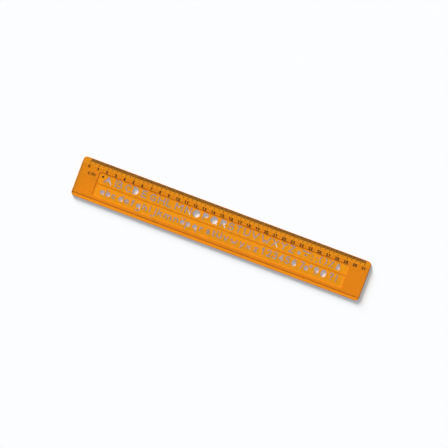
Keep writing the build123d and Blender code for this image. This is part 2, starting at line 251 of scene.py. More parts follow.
# %% [markdown]
# The letters sit in a sunk panel, so the plate needs a shallow tray with slanted walls, a soft
# lip and a low rib along it. The tray is cut out by its opposite, a stamp. The stamp starts as
# a block above the plate, and its lower face is inset and pushed down in steps, which are the
# lip, the slanted wall and the round at the floor. A strip of that face is pushed back up for
# the rib.

# %% Sink the letter panel
PANEL_LEFT = 21.2 * MM
PANEL_RIGHT = 21.7 * MM
PANEL_SCALE_SIDE = 10.6 * MM
PANEL_RULING_SIDE = 7 * MM
PANEL_FLOOR = 1.6 * MM
PANEL_CORNER = 1.6 * MM
PANEL_CORNER_STEPS = 8
WALL_RUN = 0.503 * MM
SOFT_RUN = 0.10 * MM
SOFT_DROP = 0.04 * MM
RIB_PLACE = 22.6 * MM
RIB_WIDTH = 0.9 * MM
RIB_HEIGHT = 0.3 * MM
RIB_SLANT = 0.1 * MM
panel_low = (-PLATE_LENGTH / 2 + PANEL_LEFT, ruling_edge + PANEL_RULING_SIDE)
panel_high = (PLATE_LENGTH / 2 - PANEL_RIGHT, scale_edge - PANEL_SCALE_SIDE)
panel_length = panel_high[0] - panel_low[0]
panel_width = panel_high[1] - panel_low[1]
panel_middle = ((panel_low[0] + panel_high[0]) / 2, (panel_low[1] + panel_high[1]) / 2, 0)
panel_depth = PLATE_THICKNESS - PANEL_FLOOR
rib_line = scale_edge - RIB_PLACE


def in_rib_strip(face):
    """Say whether a face is the strip of the stamp's lower face that makes the rib."""
    return face.normal.z < -FACES_UP and abs(face.calc_center_median().y - rib_line) < RIB_WIDTH / 2


stamp = add_block(
    "stamp",
    panel_length + 2 * SOFT_RUN,
    panel_width + 2 * SOFT_RUN,
    PLATE_THICKNESS + SOFT_DROP,
    PLATE_THICKNESS + TRIM,
)
bpy.ops.mesh.select_all(action="SELECT")
bpy.ops.transform.translate(value=panel_middle)
pick(stamp, "edges", stands_upright)
bpy.ops.mesh.bevel(
    offset=PANEL_CORNER + SOFT_RUN,
    segments=PANEL_CORNER_STEPS,
    affect="EDGES",
    clamp_overlap=False,
)
pick(stamp, "faces", lambda face: face.normal.z < -FACES_UP)
wall_drop = panel_depth - 2 * SOFT_DROP
for run, drop in (
    (SOFT_RUN, 2 * SOFT_DROP),
    (WALL_RUN * wall_drop / panel_depth, wall_drop),
    (SOFT_RUN, SOFT_DROP),
):
    bpy.ops.mesh.inset(thickness=run, depth=drop)
for side in (-1, 1):
    slice_at((0, rib_line + side * RIB_WIDTH / 2, 0), (0, 1, 0))
pick(stamp, "faces", in_rib_strip)
bpy.ops.mesh.inset(thickness=RIB_SLANT, depth=-RIB_HEIGHT)
bpy.ops.object.mode_set(mode="OBJECT")
print("stamp reaches down to mm:", round(min(vert.co.z for vert in stamp.data.vertices) / MM, 3))
combine(plate, stamp, "DIFFERENCE")
print("plate faces with its panel:", len(plate.data.polygons))


# %% [markdown]
# Every opening is a set of strokes, because a pen point can only follow a slot of its own width.
# A stroke is a dot with one place, a straight run with two, or an arc through three. The places
# are shares of the letter's width and height, from the foot of its left side, so one table
# serves letters of any size. The capitals come first.

# %% Strokes of the capitals
CAPITAL_STROKES = {
    "A": [[(0, 0), (0.5, 1)], [(0.5, 1), (1, 0)], [(0.19, 0.36), (0.81, 0.36)]],
    "B": [
        [(0, 0), (0, 1)],
        [(0.32, 1), (0.66, 1)],
        [(0.66, 1), (0.92, 0.77), (0.66, 0.54)],
        [(0.46, 0.54), (0.7, 0.54)],
        [(0.7, 0.54), (1, 0.27), (0.7, 0)],
        [(0.7, 0), (0.32, 0)],
    ],
    "C": [[(0.93, 0.87), (0, 0.5), (0.93, 0.13)]],
    "D": [[(0, 0), (0, 1)], [(0, 1), (0.42, 1)], [(0.42, 1), (1, 0.5), (0.42, 0)], [(0.42, 0), (0, 0)]],
    "E": [[(0, 0), (0, 1)], [(0, 1), (1, 1)], [(0, 0.52), (0.85, 0.52)], [(0, 0), (1, 0)]],
    "G": [[(0.92, 0.87), (0, 0.5), (0.94, 0.15)], [(0.94, 0.15), (0.98, 0.44)], [(0.98, 0.44), (0.55, 0.44)]],
    "H": [[(0, 0), (0, 1)], [(1, 0), (1, 1)], [(0, 0.52), (1, 0.52)]],
    "L": [[(0, 1), (0, 0)], [(0, 0), (1, 0)]],
    "M": [[(0, 0), (0, 1)], [(0, 1), (0.5, 0.47)], [(0.5, 0.47), (1, 1)], [(1, 1), (1, 0)]],
    "N": [[(0, 0), (0, 1)], [(0, 1), (1, 0)], [(1, 0), (1, 1)]],
    "O": [[(0, 0.5), (0.5, 1), (1, 0.5)], [(1, 0.5), (0.5, 0), (0, 0.5)]],
    "P": [[(0, 0), (0, 1)], [(0, 1), (0.6, 1)], [(0.6, 1), (1, 0.74), (0.6, 0.48)], [(0.6, 0.48), (0, 0.48)]],
    "Q": [[(0, 0.5), (0.5, 1), (1, 0.5)], [(1, 0.5), (0.5, 0), (0, 0.5)], [(0.62, 0.32), (1, 0)]],
    "R": [
        [(0, 0), (0, 1)],
        [(0, 1), (0.6, 1)],
        [(0.6, 1), (1, 0.74), (0.6, 0.48)],
        [(0.6, 0.48), (0, 0.48)],
        [(0.48, 0.48), (1, 0)],
    ],
    "S": [
        [(0.95, 0.83), (0.5, 1), (0.06, 0.8)],
        [(0.06, 0.8), (0.13, 0.61), (0.5, 0.51)],
        [(0.5, 0.51), (0.9, 0.4), (0.95, 0.2)],
        [(0.95, 0.2), (0.5, 0), (0.03, 0.17)],
    ],
    "T": [[(0, 1), (1, 1)], [(0.5, 1), (0.5, 0)]],
    "U": [[(0, 1), (0, 0.42)], [(0, 0.42), (0.5, 0), (1, 0.42)], [(1, 0.42), (1, 1)]],
    "V": [[(0, 1), (0.5, 0)], [(0.5, 0), (1, 1)]],
    "W": [[(0, 1), (0.31, 0)], [(0.31, 0), (0.51, 0.4)], [(0.51, 0.4), (0.7, 0)], [(0.7, 0), (1, 1)]],
    "X": [[(0, 0), (1, 1)], [(0, 1), (1, 0)]],
    "Y": [[(0, 1), (0.5, 0.47)], [(1, 1), (0.5, 0.47)], [(0.5, 0.47), (0.5, 0)]],
    "Z": [[(0, 1), (1, 1)], [(1, 1), (0, 0)], [(0, 0), (1, 0)]],
    "ring": [[(0, 0.38), (0.5, 0.59), (1, 0.38)], [(1, 0.38), (0.5, 0.17), (0, 0.38)]],
    "dashes": [[(0, 0.9), (1, 0.9)], [(0.34, 0.38), (0.68, 0.38)]],
    "colon": [[(0.5, 0.62)], [(0.5, 0.04)]],
    "semicolon": [[(0.6, 0.62)], [(0.68, 0.08), (0.35, -0.1)]],
    "left_bracket": [[(1, 1), (0, 0.52), (1, 0.04)]],
    "right_bracket": [[(0, 1), (1, 0.52), (0, 0.04)]],
    "percent": [[(1, 1), (0, 0)], [(0, 0.92)], [(1, 0.08)]],
    "ampersand": [
        [(0, 0.24), (0.5, 0), (1, 0.3)],
        [(1, 0.3), (0.8, 0.52), (0.68, 0.66)],
        [(0.68, 0.66), (0.46, 0.84), (0.22, 0.64)],
        [(0.22, 0.64), (0.08, 0.46), (0, 0.24)],
    ],
}


# %% [markdown]
# The small letters reach above 1 where they have a tall stem or dots, and below 0 where they hang
# under the line. Five of them are small copies of a capital.

# %% Strokes of the small letters
SMALL_STROKES = {
    "a": [[(0, 0.5), (0.5, 1), (1, 0.5)], [(1, 0.5), (0.5, 0), (0, 0.5)], [(1, 1), (1, 0)]],
    "b": [[(0, 0.5), (0.5, 1), (1, 0.5)], [(1, 0.5), (0.5, 0), (0, 0.5)], [(0, 1.52), (0, 0)]],
    "c": [[(0.9, 0.87), (0, 0.5), (0.9, 0.13)]],
    "d": [[(0, 0.5), (0.5, 1), (1, 0.5)], [(1, 0.5), (0.5, 0), (0, 0.5)], [(1, 1.52), (1, 0)]],
    "e": [[(0, 0.5), (1, 0.5)], [(1, 0.5), (0.5, 1), (0, 0.5)], [(0, 0.5), (0.4, 0.02), (0.95, 0.17)]],
    "f": [[(0.4, 0), (0.4, 1.2)], [(0.4, 1.2), (0.6, 1.48), (1, 1.5)], [(0, 0.9), (0.95, 0.9)]],
    "g": [
        [(0, 0.5), (0.5, 1), (1, 0.5)],
        [(1, 0.5), (0.5, 0), (0, 0.5)],
        [(1, 1), (1, -0.45)],
        [(1, -0.45), (0.6, -0.82), (0.05, -0.7)],
    ],
    "h": [[(0, 0), (0, 1.52)], [(0, 0.55), (0.5, 1), (1, 0.55)], [(1, 0.55), (1, 0)]],
    "i": [[(0.5, 0), (0.5, 1)], [(0.5, 1.5)]],
    "j": [[(1, 1), (1, -0.4)], [(1, -0.4), (0.7, -0.76), (0, -0.78)], [(1, 1.5)]],
    "k": [[(0, 0), (0, 1.52)], [(0.08, 0.4), (0.92, 1)], [(0.38, 0.6), (1, 0)]],
    "m": [
        [(0, 0), (0, 1)],
        [(0, 0.62), (0.25, 1), (0.5, 0.62)],
        [(0.5, 0.62), (0.5, 0)],
        [(0.5, 0.62), (0.75, 1), (1, 0.62)],
        [(1, 0.62), (1, 0)],
    ],
    "n": [[(0, 0), (0, 1)], [(0, 0.55), (0.5, 1), (1, 0.55)], [(1, 0.55), (1, 0)]],
    "o_dots": [
        [(0, 0.5), (0.5, 1), (1, 0.5)],
        [(1, 0.5), (0.5, 0), (0, 0.5)],
        [(0.1, 1.56)],
        [(0.9, 1.56)],
    ],
    "p": [[(0, 0.5), (0.5, 1), (1, 0.5)], [(1, 0.5), (0.5, 0), (0, 0.5)], [(0, 1), (0, -0.82)]],
    "q": [[(0, 0.5), (0.5, 1), (1, 0.5)], [(1, 0.5), (0.5, 0), (0, 0.5)], [(1, 1), (1, -0.82)]],
    "r": [[(0, 0), (0, 1)], [(0, 0.55), (0.4, 0.95), (0.95, 0.97)]],
    "s": CAPITAL_STROKES["S"],
    "t": [[(0.42, 1.45), (0.42, 0.3)], [(0.42, 0.3), (0.58, 0.03), (0.95, 0)], [(0, 1), (0.9, 1)]],
    "u_dots": [
        [(0, 1), (0, 0.42)],
        [(0, 0.42), (0.5, 0), (1, 0.42)],
        [(1, 1), (1, 0)],
        [(0.1, 1.56)],
        [(0.9, 1.56)],
    ],
    "v": CAPITAL_STROKES["V"],
    "w": CAPITAL_STROKES["W"],
    "x": CAPITAL_STROKES["X"],
    "y": [[(0, 1), (0.52, 0.02)], [(1, 1), (0.28, -0.5)]],
    "z": CAPITAL_STROKES["Z"],
}


# %% [markdown]
# The figures stand in the lower row. There is no 8 among them: it is drawn with two rings, a
# larger and a smaller one, which stand side by side in the row.

# %% Strokes of the figures
FIGURE_STROKES = {
    "0": [
        [(0, 0.65), (0.5, 1), (1, 0.65)],
        [(1, 0.65), (1, 0.35)],
        [(1, 0.35), (0.5, 0), (0, 0.35)],
        [(0, 0.35), (0, 0.65)],
    ],
    "1": [[(0.1, 0.72), (0.62, 1)], [(0.62, 1), (0.62, 0)]],
    "2": [[(0, 0.73), (0.5, 1), (0.97, 0.7)], [(0.97, 0.7), (0.78, 0.42), (0, 0)], [(0, 0), (1, 0)]],
    "3": [
        [(0.04, 0.88), (0.45, 1), (0.92, 0.77)],
        [(0.92, 0.77), (0.8, 0.58), (0.42, 0.53)],
        [(0.42, 0.53), (1, 0.3), (0.5, 0)],
        [(0.5, 0), (0.2, 0.04), (0, 0.16)],
    ],
    "4": [[(0.74, 0), (0.74, 1)], [(0.74, 1), (0, 0.28)], [(0, 0.28), (1, 0.28)]],
    "5": [
        [(0.92, 1), (0.15, 1)],
        [(0.15, 1), (0.07, 0.55)],
        [(0.07, 0.55), (1, 0.34), (0.5, 0)],
        [(0.5, 0), (0.2, 0.04), (0, 0.16)],
    ],
    "6": [
        [(0, 0.34), (0.5, 0.66), (1, 0.34)],
        [(1, 0.34), (0.5, 0), (0, 0.34)],
        [(0, 0.34), (0.2, 0.8), (0.8, 1)],
    ],
    "7": [[(0, 1), (1, 1)], [(1, 1), (0.35, 0)]],
    "9": [
        [(0, 0.66), (0.5, 1), (1, 0.66)],
        [(1, 0.66), (0.5, 0.34), (0, 0.66)],
        [(1, 0.66), (0.8, 0.2), (0.2, 0)],
    ],
    "lower_ring": [[(0, 0.31), (0.5, 0.59), (1, 0.31)], [(1, 0.31), (0.5, 0.03), (0, 0.31)]],
    "upper_ring": [[(0, 0.84), (0.5, 1), (1, 0.84)], [(1, 0.84), (0.5, 0.68), (0, 0.84)]],
    "query": [[(0, 0.76), (0.5, 1), (1, 0.73)], [(1, 0.73), (0.6, 0.5), (0.5, 0.3)], [(0.5, 0.02)]],
    "exclamation": [[(0.5, 1), (0.5, 0.32)], [(0.5, 0.02)]],
}


# %% [markdown]
# The rows say where each letter stands: the share of the panel's length from its left end to the
# letter's middle, and the letter's width as a share of its height.

# %% Rows of openings
CAPITAL_ROW = [
    ("A", 0.040, 1.12),
    ("B", 0.083, 1.00),
    ("C", 0.122, 0.88),
    ("D", 0.151, 0.80),
    ("E", 0.186, 0.75),
    ("G", 0.221, 0.85),
    ("H", 0.255, 0.93),
    ("L", 0.286, 0.79),
    ("M", 0.324, 1.05),
    ("N", 0.361, 0.84),
    ("O", 0.394, 1.03),
    ("P", 0.430, 0.78),
    ("Q", 0.465, 1.00),
    ("R", 0.502, 0.79),
    ("S", 0.533, 0.83),
    ("T", 0.563, 0.78),
    ("U", 0.596, 0.88),
    ("V", 0.630, 0.95),
    ("W", 0.672, 1.28),
    ("X", 0.710, 0.88),
    ("Y", 0.744, 0.88),
    ("Z", 0.776, 0.76),
    ("ring", 0.806, 0.50),
    ("dashes", 0.833, 1.24),
    ("colon", 0.859, 0.20),
    ("semicolon", 0.877, 0.30),
    ("left_bracket", 0.892, 0.31),
    ("right_bracket", 0.913, 0.31),
    ("percent", 0.935, 0.60),
    ("ampersand", 0.963, 0.60),
]
SMALL_ROW = [
    ("a", 0.034, 1.00),
    ("b", 0.058, 1.00),
    ("c", 0.080, 0.90),
    ("d", 0.108, 1.00),
    ("e", 0.132, 1.00),
    ("f", 0.155, 0.70),
    ("g", 0.179, 1.00),
    ("h", 0.204, 0.98),
    ("i", 0.225, 0.30),
    ("j", 0.240, 0.96),
    ("k", 0.265, 0.95),
    ("m", 0.297, 1.72),
    ("n", 0.330, 1.10),
    ("o_dots", 0.355, 1.00),
    ("p", 0.378, 1.00),
    ("q", 0.405, 1.00),
    ("r", 0.431, 0.72),
    ("s", 0.458, 0.84),
    ("t", 0.480, 0.72),
    ("u_dots", 0.502, 1.20),
    ("v", 0.529, 1.05),
    ("w", 0.562, 1.55),
    ("y", 0.594, 1.05),
    ("x", 0.621, 1.00),
    ("z", 0.649, 0.80),
]
FIGURE_ROW = [
    ("1", 0.677, 0.45),
    ("2", 0.701, 0.64),
    ("3", 0.725, 0.64),
    ("4", 0.750, 0.70),
    ("5", 0.775, 0.64),
    ("6", 0.802, 0.66),
    ("7", 0.832, 0.64),
    ("lower_ring", 0.851, 0.60),
    ("upper_ring", 0.866, 0.42),
    ("9", 0.890, 0.66),
    ("0", 0.919, 0.74),
    ("query", 0.950, 0.60),
    ("exclamation", 0.971, 0.20),
]
print("openings:", len(CAPITAL_ROW) + len(SMALL_ROW) + len(FIGURE_ROW))


# %% [markdown]
# One pen hole is modelled and then copied for every stroke. It is a round cutter whose top widens
# in steps, so that each opening gets a soft lip where it meets the panel floor. Half of the
# cutter is pulled away to make a slot, and cuts across it let the slot follow an arc.

# %% Model the pen slots
SLOT_WIDTH = 1.15 * MM
DOT_DIAMETER = 1.5 * MM
PEN_SIDES = 20
SLOT_LENGTH = 10 * MM
ARC_CUTS = 12
LIP_DROP = 0.12 * MM
LIP_STEPS = ((0.05 * MM, 0.09 * MM), (0.2 * MM, 0.25 * MM))


def add_pen_slot(name, width, length, cuts):
    """Model a cutter for a round hole, or for a slot with cuts across it."""
    bpy.ops.object.select_all(action="DESELECT")
    radius = width / 2 / math.cos(math.pi / PEN_SIDES)
    high = PANEL_FLOOR - LIP_DROP
    bpy.ops.mesh.primitive_cylinder_add(
        vertices=PEN_SIDES,
        radius=radius,
        depth=high + TRIM,
        location=(0, 0, (high - TRIM) / 2),
        rotation=(0, 0, math.pi / PEN_SIDES),
    )
    slot = start_piece(name)
    pick(slot, "faces", lambda face: face.normal.z > FACES_UP)
    for growth, rise in LIP_STEPS:
        bpy.ops.mesh.extrude_region_move(TRANSFORM_OT_translate={"value": (0, 0, rise)})
        larger = 1 + growth / radius
        bpy.ops.transform.resize(value=(larger, larger, 1))
        radius += growth
    if length:
        pick(slot, "verts", lambda vert: vert.co.x > 0)
        bpy.ops.transform.translate(value=(length, 0, 0))
    for cut in range(cuts + 1 if cuts else 0):
        slice_at((length * cut / cuts, 0, 0), (1, 0, 0))
    bpy.ops.object.mode_set(mode="OBJECT")
    return slot


dot_cutter = add_pen_slot("dot_cutter", DOT_DIAMETER, 0, 0)
straight_cutter = add_pen_slot("straight_cutter", SLOT_WIDTH, SLOT_LENGTH, 0)
arc_cutter = add_pen_slot("arc_cutter", SLOT_WIDTH, SLOT_LENGTH, ARC_CUTS)
for cutter in (dot_cutter, straight_cutter, arc_cutter):
    print(cutter.name, "faces:", len(cutter.data.polygons))


# %% [markdown]
# A stroke's middle line gives, for each share of the way along, a place and a direction. A
# straight stroke keeps one direction. An arc lies on the one circle that goes through its three
# places, and it runs round that circle on the side where the second place lies.

# %% Follow a stroke
def circle_through(first, second, third):
    """Return the middle of the circle through three places."""
    one, two = second - first, third - first
    scale = 2 * (one.x * two.y - one.y * two.x)
    x = (two.y * one.length_squared - one.y * two.length_squared) / scale
    y = (one.x * two.length_squared - two.x * one.length_squared) / scale
    return first + Vector((x, y))


def middle_line(places):
    """Return a function from a share of the way along a stroke to its place and direction."""
    if len(places) < 3:
        run = places[-1] - places[0]
        turn = math.atan2(run.y, run.x) if run.length else 0
        return lambda share: (places[0] + share * run, turn)
    centre = circle_through(*places)
    start, mid, end = [math.atan2((place - centre).y, (place - centre).x) for place in places]
    full = 2 * math.pi
    left_turn = (mid - start) % full < (end - start) % full
    sweep = (end - start) % full if left_turn else -((start - end) % full)
    radius = (places[0] - centre).length

    def along(share):
        angle = start + share * sweep
        spot = centre + radius * Vector((math.cos(angle), math.sin(angle)))
        return spot, angle + math.copysign(math.pi / 2, sweep)

    return along


print("middle of a test circle:", tuple(circle_through(Vector((1, 0)), Vector((0, 1)), Vector((-1, 0)))))


# %% [markdown]
# A copy of the slot is laid along each stroke: its round ends turn as they are, and the part
# between them follows the line. Where two strokes of a letter meet, their round ends would lie
# exactly on each other, which makes a cut slow and leaves flakes. So each further slot of a
# letter is a hair wider and higher than the one before it.

# %% Lay the slots along the strokes
TALL_LETTER = 8 * MM
SMALL_LETTER = 5 * MM
UPPER_FOOT_LINE = 20.5 * MM
LOWER_FOOT_LINE = 32.8 * MM
WIDER_EACH = 0.006
HIGHER_EACH = 0.0031 * MM


def lay_slot(cutter, places, order):
    """Return a copy of a cutter, laid along a stroke and a little larger than the one before."""
    larger = 1 + WIDER_EACH * order
    line = middle_line(places)
    copy = cutter.copy()
    copy.data = cutter.data.copy()
    for vert in copy.data.vertices:
        share = min(max(vert.co.x / SLOT_LENGTH, 0), 1) if len(places) > 1 else 0
        spot, turn = line(share)
        beyond = larger * Vector((vert.co.x - share * SLOT_LENGTH, vert.co.y))
        vert.co.z += HIGHER_EACH * order
        beyond.rotate(Matrix.Rotation(turn, 2))
        vert.co.x = spot.x + beyond.x
        vert.co.y = spot.y + beyond.y
    bpy.context.scene.collection.objects.link(copy)
    return copy


def lay_letter(strokes, middle, foot, width, height):
    """Return the laid slots of one letter."""
    slots = []
    for order, stroke in enumerate(strokes):
        places = [
            Vector((
                middle + (across - 0.5) * (width - SLOT_WIDTH),
                foot + SLOT_WIDTH / 2 + up * (height - SLOT_WIDTH),
            ))
            for across, up in stroke
        ]
        cutter = (dot_cutter, straight_cutter, arc_cutter)[len(places) - 1]
        slots.append(lay_slot(cutter, places, order))
    return slots


ROWS = (
    (CAPITAL_ROW, CAPITAL_STROKES, TALL_LETTER, UPPER_FOOT_LINE),
    (SMALL_ROW, SMALL_STROKES, SMALL_LETTER, LOWER_FOOT_LINE),
    (FIGURE_ROW, FIGURE_STROKES, TALL_LETTER, LOWER_FOOT_LINE),
)
slots = []
for row, strokes, height, foot_line in ROWS:
    for name, along_share, width_share in row:
        middle = panel_low[0] + along_share * panel_length
        width = width_share * height
        slots += lay_letter(strokes[name], middle, scale_edge - foot_line, width, height)
print("slots laid:", len(slots))


# %% [markdown]
# All slots together make one tool, which cuts the openings in a single pass. Where strokes close
# a ring, as in an O, the middle is now a loose chip, and it falls out of the real plate too. So
# everything that isn't joined to the plate's left end is deleted. Smooth shading up to a small
# angle, with normals weighted by area, keeps the flat faces flat and lets the lips shine.

# %% Cut the openings
SMOOTH_ANGLE = math.radians(30)
AREA_WEIGHT = 100

bpy.ops.object.select_all(action="DESELECT")
for slot in slots:
    slot.select_set(True)
bpy.context.view_layer.objects.active = slots[0]
bpy.ops.object.join()
combine(plate, slots[0], "DIFFERENCE", use_self=True)
for cutter in (dot_cutter, straight_cutter, arc_cutter):
    bpy.data.objects.remove(cutter)

faces_with_chips = len(plate.data.polygons)
bpy.ops.object.mode_set(mode="EDIT")
pick(plate, "faces", lambda face: face.calc_center_median().x < panel_low[0] - TRIM)
bpy.ops.mesh.select_linked()
bpy.ops.mesh.select_all(action="INVERT")
bpy.ops.mesh.delete(type="FACE")
bpy.ops.object.mode_set(mode="OBJECT")

plate.select_set(True)
bpy.ops.object.shade_smooth_by_angle(angle=SMOOTH_ANGLE)
bpy.ops.object.modifier_add(type="WEIGHTED_NORMAL")
by_area = plate.modifiers[-1]
by_area.weight = AREA_WEIGHT
by_area.keep_sharp = True
bpy.ops.object.modifier_apply(modifier=by_area.name)
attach(plate, "root")
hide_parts("stencil_plate")
print("faces of loose chips removed:", faces_with_chips - len(plate.data.polygons))


# %% [markdown]
# The plate lies on a plain white table. The table is a large flat floor, a hair under the plate,
# because two faces at the same height would flicker through each other. It is matt white, and it
# glows a little towards the camera only. The glow makes the open table pure white, as in a
# catalogue picture, and keeps the shadows and the bottom of each letter a light cool grey.

# %% Lay the white table
FLOOR_SIDE = 14.0
FLOOR_GAP = 0.15 * MM
FLOOR_COLOUR = (0.895, 0.87, 0.855, 1)
FLOOR_GLOW = (0.65, 0.85, 1.0, 1)
FLOOR_GLOW_STRENGTH = 0.19


def add_node(tree, kind, **settings):
    """Add a node to a node tree and set its plain settings by name."""
    node = tree.nodes.new(kind)
    for name, value in settings.items():
        setattr(node, name, value)
    return node


def background_rays(tree):
    """Return a socket that is 1 for rays which show the background: camera, mirror and glass."""
    rays = add_node(tree, "ShaderNodeLightPath")
    camera_or_mirror = add_node(tree, "ShaderNodeMath", operation="MAXIMUM")
    tree.links.new(rays.outputs["Is Camera Ray"], camera_or_mirror.inputs[0])
    tree.links.new(rays.outputs["Is Glossy Ray"], camera_or_mirror.inputs[1])
    any_of_them = add_node(tree, "ShaderNodeMath", operation="MAXIMUM")
    tree.links.new(camera_or_mirror.outputs[0], any_of_them.inputs[0])
    tree.links.new(rays.outputs["Is Transmission Ray"], any_of_them.inputs[1])
    return any_of_them.outputs[0]


table_paint = bpy.data.materials.new("white_table")
table_paint.use_nodes = True
tree = table_paint.node_tree
tree.nodes.clear()
matt_white = add_node(tree, "ShaderNodeBsdfDiffuse")
matt_white.inputs["Color"].default_value = FLOOR_COLOUR
glow = add_node(tree, "ShaderNodeEmission")
glow.inputs["Color"].default_value = FLOOR_GLOW
glow_strength = add_node(tree, "ShaderNodeMath", operation="MULTIPLY")
tree.links.new(background_rays(tree), glow_strength.inputs[0])
glow_strength.inputs[1].default_value = FLOOR_GLOW_STRENGTH
tree.links.new(glow_strength.outputs[0], glow.inputs["Strength"])
both = add_node(tree, "ShaderNodeAddShader")
tree.links.new(matt_white.outputs[0], both.inputs[0])
tree.links.new(glow.outputs[0], both.inputs[1])
output = add_node(tree, "ShaderNodeOutputMaterial")
tree.links.new(both.outputs[0], output.inputs["Surface"])

bpy.ops.object.select_all(action="DESELECT")
bpy.ops.mesh.primitive_plane_add(size=FLOOR_SIDE, location=(0, 0, solid_low.z - FLOOR_GAP))
table = bpy.context.object
table.name = "table"
table.data.materials.append(table_paint)
print("table side in m:", FLOOR_SIDE)


# %% [markdown]
# The picture looks straight down on the plate, and the plate lies turned by about twenty
# degrees. Two measures of the picture place the camera: how many pixels a millimetre takes,
# and on which pixel the middle of the plate falls. A long lens keeps the edges parallel.

# %% Set up the camera over the plate
PICTURE_SIDE = 448
PIXELS_PER_MM = 0.9446
PLATE_MIDDLE_PIXEL = (221.33, 228.46)
PLATE_TURN = math.radians(20.48)
CAMERA_HEIGHT = 1.5

camera_data = bpy.data.cameras.new("camera")
camera = bpy.data.objects.new("camera", camera_data)
bpy.context.scene.collection.objects.link(camera)
bpy.context.scene.camera = camera

picture_width = PICTURE_SIDE / PIXELS_PER_MM * MM
camera_data.lens = camera_data.sensor_width * CAMERA_HEIGHT / picture_width
to_right = (PICTURE_SIDE / 2 - PLATE_MIDDLE_PIXEL[0]) / PIXELS_PER_MM * MM
to_top = (PLATE_MIDDLE_PIXEL[1] - PICTURE_SIDE / 2) / PIXELS_PER_MM * MM
picture_turn = Matrix.Rotation(PLATE_TURN, 4, "Z")
camera.location = picture_turn @ Vector((to_right, to_top, solid_high.z + CAMERA_HEIGHT))
camera.rotation_euler = (0, 0, PLATE_TURN)
print("lens in mm:", round(camera_data.lens, 1))


# %% [markdown]
# The light is soft and comes low from the upper left, so the thin plate still throws a soft
# shadow to its lower right. A sun lamp with a wide disc lights the whole table evenly, and it is
# hidden from mirror and glass rays, because its glare would wash out the amber. The world adds
# plain light from all sides. What the shine of the plate shows of it is a dimmer room, darkest
# at the ceiling, so the amber stays strong from low angles too. The camera sees plain white.

# %% Light the table
SUN_FROM = Vector((-0.70, 0.72))
SUN_ELEVATION = math.radians(15)
SUN_DISC = math.radians(20)
SUN_STRENGTH = 7.9
SKY_STRENGTH = 0.37
SKY_PLAIN = (1, 1, 1, 1)
SKY_SIDES = (0.48, 0.48, 0.48, 1)
SKY_TOP = (0.22, 0.22, 0.22, 1)
SKY_DIMS_FROM = 0.02
SKY_DIMS_TO = 0.38

sun_data = bpy.data.lights.new("sun", "SUN")
sun_data.energy = SUN_STRENGTH
sun_data.angle = SUN_DISC
sun = bpy.data.objects.new("sun", sun_data)
bpy.context.scene.collection.objects.link(sun)
level = SUN_FROM.normalized() * math.cos(SUN_ELEVATION)
sun_direction = Vector((level.x, level.y, math.sin(SUN_ELEVATION)))
sun.rotation_euler = sun_direction.to_track_quat("Z", "Y").to_euler()
sun.visible_glossy = False
sun.visible_transmission = False

world = bpy.data.worlds.new("studio")
bpy.context.scene.world = world
world.use_nodes = True
tree = world.node_tree
tree.nodes.clear()
direction = add_node(tree, "ShaderNodeTexCoord")
parts = add_node(tree, "ShaderNodeSeparateXYZ")
tree.links.new(direction.outputs["Generated"], parts.inputs[0])
shown_sky = add_node(tree, "ShaderNodeValToRGB")
tree.links.new(parts.outputs["Z"], shown_sky.inputs["Fac"])
shown_sky.color_ramp.elements[0].color = SKY_SIDES
shown_sky.color_ramp.elements[1].color = SKY_TOP
shown_sky.color_ramp.elements[0].position = SKY_DIMS_FROM
shown_sky.color_ramp.elements[1].position = SKY_DIMS_TO
even_sky = add_node(tree, "ShaderNodeBackground")
even_sky.inputs["Strength"].default_value = SKY_STRENGTH
seen_sky = add_node(tree, "ShaderNodeBackground")
rays = add_node(tree, "ShaderNodeLightPath")
plain_for_camera = add_node(tree, "ShaderNodeMix", data_type="RGBA")
tree.links.new(rays.outputs["Is Camera Ray"], plain_for_camera.inputs[0])
tree.links.new(shown_sky.outputs["Color"], plain_for_camera.inputs[6])
plain_for_camera.inputs[7].default_value = SKY_PLAIN
tree.links.new(plain_for_camera.outputs[2], seen_sky.inputs["Color"])
either = add_node(tree, "ShaderNodeMixShader")
tree.links.new(background_rays(tree), either.inputs["Fac"])
tree.links.new(even_sky.outputs[0], either.inputs[1])
tree.links.new(seen_sky.outputs[0], either.inputs[2])
output = add_node(tree, "ShaderNodeOutputWorld")
tree.links.new(either.outputs[0], output.inputs["Surface"])
bpy.context.scene.view_settings.view_transform = "Standard"
print("sun height in degrees:", round(math.degrees(SUN_ELEVATION)))


# %% [markdown]
# A finish is a small network of nodes, and four kinds of step come back in it all the time: a
# value that rises smoothly between two limits, a sum or product, a cloudy noise and a mix of two
# colours. Each is a helper that adds the node, connects it and returns its socket.

# %% Helpers for finishes
def ramped(tree, value, low, high):
    """Return a socket that goes smoothly from 0 to 1 while the value goes from low to high."""
    ramp = add_node(tree, "ShaderNodeMapRange", interpolation_type="SMOOTHSTEP")
    tree.links.new(value, ramp.inputs["Value"])
    ramp.inputs["From Min"].default_value = low
    ramp.inputs["From Max"].default_value = high
    return ramp.outputs["Result"]


def calculated(tree, operation, first, second):
    """Return a sum, product or other result of two sockets or numbers."""
    node = add_node(tree, "ShaderNodeMath", operation=operation)
    for socket, value in zip(node.inputs, (first, second)):
        if isinstance(value, (int, float)):
            socket.default_value = value
        else:
            tree.links.new(value, socket)
    return node.outputs[0]


def noise(tree, place, scale, detail):
    """Return a cloudy pattern between 0 and 1."""
    node = add_node(tree, "ShaderNodeTexNoise")
    tree.links.new(place, node.inputs["Vector"])
    node.inputs["Scale"].default_value = scale
    node.inputs["Detail"].default_value = detail
    return node.outputs["Fac"]


